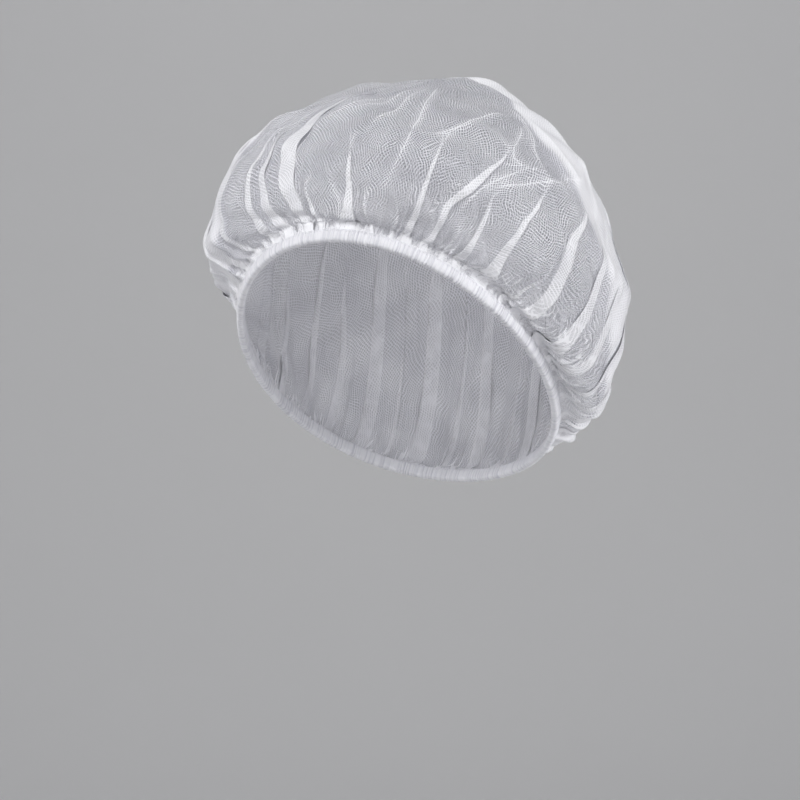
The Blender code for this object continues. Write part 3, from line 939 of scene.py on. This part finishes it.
def hem_piece():
    """The hem as a closed channel, its section pushed in and out by the gathers."""
    section = hem_section()
    section_out, section_up, gathered = (column[None, :] for column in section.T)
    count, sides = HEM_GATHERS * HEM_STEPS, len(section)
    turn = np.arange(count) / count
    pleat = np.cos(2 * math.pi * (turn * HEM_GATHERS + ripple(turn, 55, 51) * 0.35))
    push = pleat * (0.55 + 0.45 * ripple(turn, 150, 52))
    gather = np.where(section_out > 0.0015, OUTER_GATHER, INNER_GATHER)
    out = section_out + gather * push[:, None] * gathered
    up = section_up - LOWER_GATHER * push[:, None] * gathered * (section_up < 0.0008)
    up = up + UPPER_GATHER * (push[:, None] * (section_up > 0.0055) * (section_out > 0.0025))
    place = hem_place(turn[:, None] * 360 + np.zeros_like(out), out, up)
    i, j = np.meshgrid(np.arange(count), np.arange(sides), indexing="ij")
    k, m = (i + 1) % count, (j + 1) % sides
    quads = np.stack((i * sides + j, k * sides + j, k * sides + m, i * sides + m), axis=-1)
    mesh = bpy.data.meshes.new("hem")
    mesh.from_pydata(place.reshape(-1, 3).tolist(), [], quads.reshape(-1, 4).tolist())
    # Corner coordinates: the way round the cap, and the way round the section.
    steps = np.linalg.norm(np.diff(section[:, :2], axis=0, append=section[:1, :2]), axis=1)
    girth = np.concatenate(([0], np.cumsum(steps)))
    start, end = turn * HEM_ROUND, (turn + 1 / count) * HEM_ROUND
    uv = np.zeros((count, sides, 4, 2))
    uv[:, :, 0, 0] = uv[:, :, 3, 0] = start[:, None]
    uv[:, :, 1, 0] = uv[:, :, 2, 0] = end[:, None]
    uv[:, :, 0, 1] = uv[:, :, 1, 1] = girth[None, :-1]
    uv[:, :, 2, 1] = uv[:, :, 3, 1] = girth[None, 1:]
    layer = mesh.uv_layers.new(name="run")
    layer.data.foreach_set("uv", uv.astype(np.float32).ravel())
    # Each gather's push in or out, which the hem material reads to paint shade in the grooves.
    held = mesh.attributes.new("groove_shade", "FLOAT", "POINT")
    held.data.foreach_set("value", np.repeat(push, sides).astype(np.float32))
    mesh.shade_smooth()
    piece = bpy.data.objects.new("hem_casing", mesh)
    bpy.context.scene.collection.objects.link(piece)
    return piece


def stitches_piece():
    """A running stitch just under the hem's top edge, each stitch a small bent thread."""
    sides, rings = STITCH_SIDES, STITCH_RINGS
    half = STITCH_LENGTH / HEM_ROUND * 180
    depth = STITCH_OUT - STITCH_BEND * (np.linspace(-1, 1, rings) ** 4)
    vertices, faces = [], []
    for direction in np.arange(STITCHES) / STITCHES * 360:
        at = direction + np.linspace(-half, half, rings)
        line = hem_place(at, depth, np.full(rings, STITCH_UP))
        outward, upward = hem_axes(at)
        start = len(vertices)
        for point, o, u in zip(line, outward, upward):
            for side in range(sides):
                a = 2 * math.pi * side / sides
                vertices.append(point + (o * math.cos(a) + u * math.sin(a)) * STITCH_RADIUS)
        for ring in range(rings - 1):
            for side in range(sides):
                a, b = start + ring * sides + side, start + ring * sides + (side + 1) % sides
                faces.append((a, b, b + sides, a + sides))
        faces.append(tuple(start + side for side in reversed(range(sides))))
        faces.append(tuple(start + (rings - 1) * sides + side for side in range(sides)))
    mesh = bpy.data.meshes.new("stitches")
    mesh.from_pydata([tuple(v) for v in vertices], [], faces)
    mesh.shade_smooth()
    piece = bpy.data.objects.new("hem_stitches", mesh)
    bpy.context.scene.collection.objects.link(piece)
    return piece


def dress(piece, material):
    piece.data.materials.clear()
    piece.data.materials.append(material)


net = net_mesh()
dress(net, net_material())
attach(net, "root")
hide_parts("net_bag")

hem = hem_piece()
dress(hem, hem_material())
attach(hem, "root")
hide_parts("gathered_hem")

stitches = stitches_piece()
dress(stitches, thread_material())
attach(stitches, "root")

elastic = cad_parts["elastic"]
elastic.data.materials.clear()
elastic.data.materials.append(elastic_material())


# Studio

def studio_material():
    t = Tree("studio")
    place = t.node("ShaderNodeTexCoord", {}, out="Object")
    grain = t.noise(place, 3.0, 2.0)
    t.set(Base_Color=t.colours(grain, *STUDIO_COLOURS), Roughness=0.9)
    return t.material


# The camera, its sensor in mm, and the floor and wall behind the cap, in metres.
AZIMUTH, ELEVATION, DISTANCE = math.radians(24.2), math.radians(2), 2.2
FIELD = math.radians(10.4)
SENSOR_WIDTH = 36
FLOOR_HEIGHT = -0.42
FLOOR_FRONT = -14.0
FLOOR_SIDE = 9.0
WALL_START = 1.3
WALL_RADIUS = 0.9
WALL_RISE = 3.0
WALL_STEPS = 12

level_toward = Vector((math.sin(AZIMUTH), -math.cos(AZIMUTH), 0))
toward = level_toward * math.cos(ELEVATION) + Vector((0, 0, math.sin(ELEVATION)))
right = Vector((math.cos(AZIMUTH), math.sin(AZIMUTH), 0))
above = toward.cross(right)
target = right * 0.0015 - above * 0.018


def backdrop():
    """A floor that curves up into a wall behind the cap, turned to face the camera."""
    profile = [(FLOOR_FRONT, FLOOR_HEIGHT)]
    for step in range(WALL_STEPS + 1):
        a = math.pi / 2 * step / WALL_STEPS
        back = WALL_START + WALL_RADIUS * math.sin(a)
        profile.append((back, FLOOR_HEIGHT + WALL_RADIUS * (1 - math.cos(a))))
    profile.append((WALL_START + WALL_RADIUS, FLOOR_HEIGHT + WALL_RADIUS + WALL_RISE))
    vertices, faces = [], []
    for back, z in profile:
        for side in (-FLOOR_SIDE, FLOOR_SIDE):
            vertices.append(right * side - level_toward * back + Vector((0, 0, z)))
    for i in range(len(profile) - 1):
        faces.append((2 * i, 2 * i + 1, 2 * i + 3, 2 * i + 2))
    mesh = bpy.data.meshes.new("studio")
    mesh.from_pydata([tuple(v) for v in vertices], [], faces)
    mesh.shade_smooth()
    made = bpy.data.objects.new("studio", mesh)
    bpy.context.scene.collection.objects.link(made)
    mesh.materials.append(studio_material())


def lamp(name, place, size, power, aim=target):
    """A soft round lamp that faces the cap, or what aim gives."""
    data = bpy.data.lights.new(name, "AREA")
    data.shape = "DISK"
    data.size = size
    data.energy = power
    made = bpy.data.objects.new(name, data)
    made.location = place
    made.rotation_euler = (aim - place).to_track_quat("-Z", "Y").to_euler()
    bpy.context.scene.collection.objects.link(made)


def aside(across, ahead, up):
    """A place given from the camera's side: across to its right, ahead towards it, and up."""
    return target + right * across + level_toward * ahead + Vector((0, 0, up))


# Lamps: place, width in metres and power in watts. The last lights the wall.
backdrop()
lamp("key", aside(-0.65, 1.25, 1.35), 0.8, 20)
lamp("fill", aside(0.6, 1.9, 0.25), 1.0, 7.5)
lamp("right", aside(1.6, 0.5, 0.4), 0.8, 15)
lamp("left", aside(-1.6, 0.3, 0.6), 0.8, 10)
lamp("top", aside(0.2, -0.3, 1.5), 0.8, 3)
lamp("wall", aside(0, -0.7, 1.2), 1.0, 5, aim=aside(0, -2.06, 0))

world = bpy.data.worlds.new("studio")
world.use_nodes = True
world.node_tree.nodes["Background"].inputs["Color"].default_value = (0.95, 0.97, 1.0, 1)
world.node_tree.nodes["Background"].inputs["Strength"].default_value = 0.06
bpy.context.scene.world = world

camera_data = bpy.data.cameras.new("camera")
camera_data.sensor_width = SENSOR_WIDTH
camera_data.lens = SENSOR_WIDTH / 2 / math.tan(FIELD / 2)
camera_data.clip_start = 0.05
camera = bpy.data.objects.new("camera", camera_data)
camera.location = target + toward * DISTANCE
camera.rotation_euler = toward.to_track_quat("Z", "Y").to_euler()
bpy.context.scene.collection.objects.link(camera)
bpy.context.scene.camera = camera

bpy.context.scene.cycles.transparent_max_bounces = 40
bpy.context.scene.view_settings.view_transform = "Standard"
bpy.context.scene.view_settings.gamma = 0.85
bpy.context.scene.view_settings.exposure = 0.05
